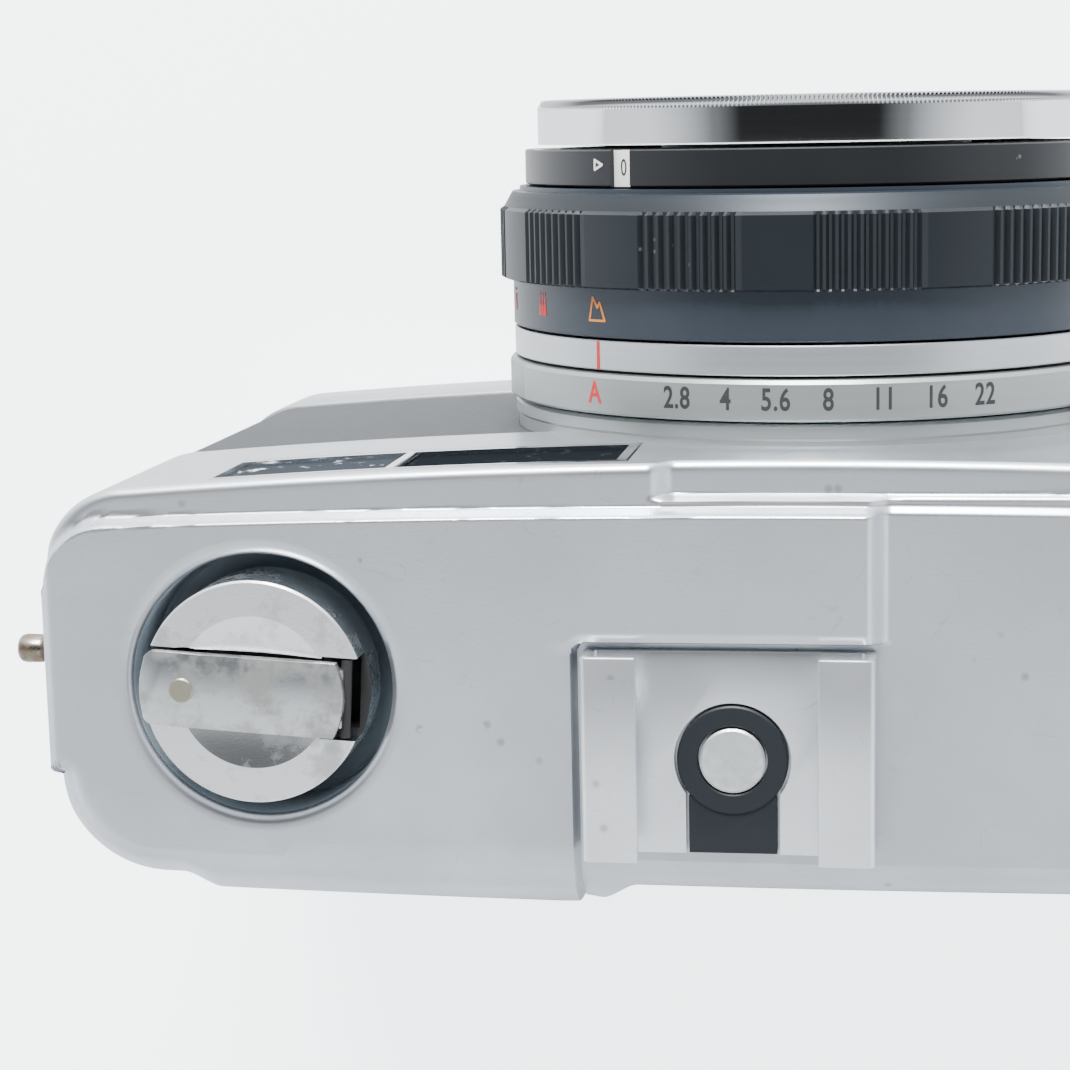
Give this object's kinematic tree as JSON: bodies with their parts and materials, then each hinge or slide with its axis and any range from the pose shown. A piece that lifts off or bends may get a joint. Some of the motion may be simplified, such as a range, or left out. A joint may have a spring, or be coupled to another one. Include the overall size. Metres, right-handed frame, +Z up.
{
  "type": "half frame camera",
  "caption": "Compact film camera with a zone-focus lens, light cell ring, folding rewind crank in a sunk well, accessory shoe, thumb wheel advance and hinged back.",
  "frame": {"origin": "under the middle of the whole camera, lens included, on the surface the base stands on", "axes": "+X to the right seen from the front, the lens looks along -Y, +Z up"},
  "size_m": [0.116, 0.0568, 0.0661],
  "materials": {
    "satin_cover": "satin plated, fine grained",
    "bright_nickel": "plated, softly polished",
    "chrome_ring": "polished",
    "dark_anodised": "satin dark anodised",
    "satin_ring": "satin, turned",
    "black_plastic": "matt",
    "casting": "as cast, blackened",
    "covering": "embossed grey imitation leather",
    "glass": "clear, coated",
    "cell": "dark light-sensitive plate",
    "brass": "turned",
    "pale_dial": "printed",
    "spring_steel": "wire",
    "black_enamel": "satin black enamel"
  },
  "bodies": {
    "chassis": {"body_casting": "casting", "top_cover": "satin_cover", "base_cover": "satin_cover", "front_skin_right": "covering", "front_skin_left": "covering", "door_hinge_pin": "spring_steel", "lens_base_plate": "black_enamel", "lens_base_collar": "satin_ring", "lens_barrel": "dark_anodised", "index_ring": "satin_ring", "film_speed_scale": "pale_dial", "filter_ring": "chrome_ring", "cell_window": "glass", "light_cell": "cell", "name_ring": "black_enamel", "rear_element": "glass", "shutter_housing": "black_enamel", "accessory_shoe": "bright_nickel", "shoe_insulator": "black_plastic", "shoe_contact": "bright_nickel", "button_collar": "chrome_ring", "button_spring": "spring_steel", "counter_window": "glass", "window_bezel": "chrome_ring", "brightline_window": "glass", "finder_front_glass": "glass", "finder_tunnel": "black_plastic", "finder_rear_lens": "glass", "eyepiece_frame": "black_plastic", "meter_unit": "black_plastic", "strap_lug_right": "bright_nickel", "strap_lug_left": "bright_nickel", "tripod_bush": "bright_nickel", "base_screw_right": "bright_nickel", "base_screw_left": "bright_nickel"},
    "back_door": {"back_door": "black_enamel", "back_door_skin": "covering", "pressure_plate": "black_enamel", "pressure_spring": "spring_steel"},
    "door_latch": {"door_latch": "bright_nickel"},
    "aperture_ring": {"aperture_ring": "satin_ring"},
    "focus_ring": {"focus_ring": "dark_anodised"},
    "lens_cell": {"lens_cell": "dark_anodised", "front_element": "glass", "middle_element": "glass"},
    "film_speed_ring": {"film_speed_ring": "black_enamel"},
    "shutter_blade_right": {"shutter_blade_right": "black_enamel"},
    "shutter_blade_left": {"shutter_blade_left": "black_enamel"},
    "rewind_stem": {"rewind_bush": "brass"},
    "rewind_head": {"rewind_knob": "bright_nickel", "rewind_shaft": "spring_steel", "crank_pin": "spring_steel"},
    "rewind_crank": {"rewind_crank": "bright_nickel"},
    "crank_finger_knob": {"crank_finger_knob": "brass"},
    "shutter_button": {"shutter_button": "chrome_ring"},
    "thumb_wheel": {"thumb_wheel": "black_plastic"},
    "takeup_spool": {"takeup_spool": "black_plastic"},
    "film_sprocket": {"film_sprocket": "spring_steel"},
    "counter_dial": {"counter_dial": "pale_dial"},
    "rewind_release_button": {"rewind_release_button": "bright_nickel"}
  },
  "joints": [
    {"name": "rewind_lift", "type": "slide", "parent": "chassis", "child": "rewind_stem", "axis": [0, 0, 1], "range_m": [0, 0.006]},
    {"name": "rewind_turn", "type": "hinge", "parent": "rewind_stem", "child": "rewind_head", "pos_m": [0.0379, 0.01225, 0.06], "axis": [0, 0, 1], "continuous": true},
    {"name": "crank_fold", "type": "hinge", "parent": "rewind_head", "child": "rewind_crank", "pos_m": [0.03131, 0.01266, 0.0646], "axis": [-0.0628, -0.998, 0], "range_deg": [0, 175]},
    {"name": "finger_knob_turn", "type": "hinge", "parent": "rewind_crank", "child": "crank_finger_knob", "pos_m": [0.04279, 0.01194, 0.064], "axis": [0, 0, 1], "continuous": true},
    {"name": "back_door_swing", "type": "hinge", "parent": "chassis", "child": "back_door", "pos_m": [-0.0539, 0.02045, 0.025], "axis": [0, 0, 1], "range_deg": [0, 115]},
    {"name": "door_latch_slide", "type": "slide", "parent": "chassis", "child": "door_latch", "axis": [0, 0, 1], "range_m": [0, 0.005]},
    {"name": "aperture_turn", "type": "hinge", "parent": "chassis", "child": "aperture_ring", "pos_m": [0, -0.00675, 0.0292], "axis": [0, 1, 0], "range_deg": [0, 83]},
    {"name": "focus_turn", "type": "hinge", "parent": "chassis", "child": "focus_ring", "pos_m": [0, -0.01675, 0.0292], "axis": [0, -1, 0], "range_deg": [0, 60]},
    {"name": "lens_cell_travel", "type": "slide", "parent": "chassis", "child": "lens_cell", "axis": [0, -1, 0], "range_m": [0, 0.0011]},
    {"name": "film_speed_turn", "type": "hinge", "parent": "chassis", "child": "film_speed_ring", "pos_m": [0, -0.02375, 0.0292], "axis": [0, 1, 0], "range_deg": [0, 75]},
    {"name": "shutter_button_press", "type": "slide", "parent": "chassis", "child": "shutter_button", "axis": [0, 0, -1], "range_m": [0, 0.0018], "stiffness_N_per_m": 400, "springref_m": -0.001, "deforming": ["button_spring"]},
    {"name": "thumb_wheel_turn", "type": "hinge", "parent": "chassis", "child": "thumb_wheel", "pos_m": [-0.038, 0.01865, 0.054], "axis": [0, 0, 1], "continuous": true},
    {"name": "takeup_spool_turn", "type": "hinge", "parent": "chassis", "child": "takeup_spool", "pos_m": [-0.038, 0.01865, 0.025], "axis": [0, 0, 1], "continuous": true},
    {"name": "film_sprocket_turn", "type": "hinge", "parent": "chassis", "child": "film_sprocket", "pos_m": [-0.0255, 0.01685, 0.025], "axis": [0, 0, 1], "continuous": true},
    {"name": "counter_dial_turn", "type": "hinge", "parent": "chassis", "child": "counter_dial", "pos_m": [-0.0255, 0.01685, 0.059], "axis": [0, 0, 1], "continuous": true},
    {"name": "release_button_press", "type": "slide", "parent": "chassis", "child": "rewind_release_button", "axis": [0, 0, 1], "range_m": [0, 0.001], "stiffness_N_per_m": 300, "springref_m": -0.001},
    {"name": "shutter_blade_right_swing", "type": "hinge", "parent": "chassis", "child": "shutter_blade_right", "pos_m": [0.0026, -0.00985, 0.0388], "axis": [0, -1, 0], "range_deg": [0, 40]},
    {"name": "shutter_blade_left_swing", "type": "hinge", "parent": "chassis", "child": "shutter_blade_left", "pos_m": [-0.0026, -0.01045, 0.0388], "axis": [0, 1, 0], "range_deg": [0, 40]}
  ],
  "couplings": [
    {"joint": "lens_cell_travel", "follows": "focus_turn", "m_per_rad": 0.0010504},
    {"joint": "takeup_spool_turn", "follows": "thumb_wheel_turn", "ratio": 1},
    {"joint": "film_sprocket_turn", "follows": "thumb_wheel_turn", "ratio": -0.66667},
    {"joint": "counter_dial_turn", "follows": "thumb_wheel_turn", "ratio": 0.016667},
    {"joint": "shutter_blade_left_swing", "follows": "shutter_blade_right_swing", "ratio": 1}
  ]
}
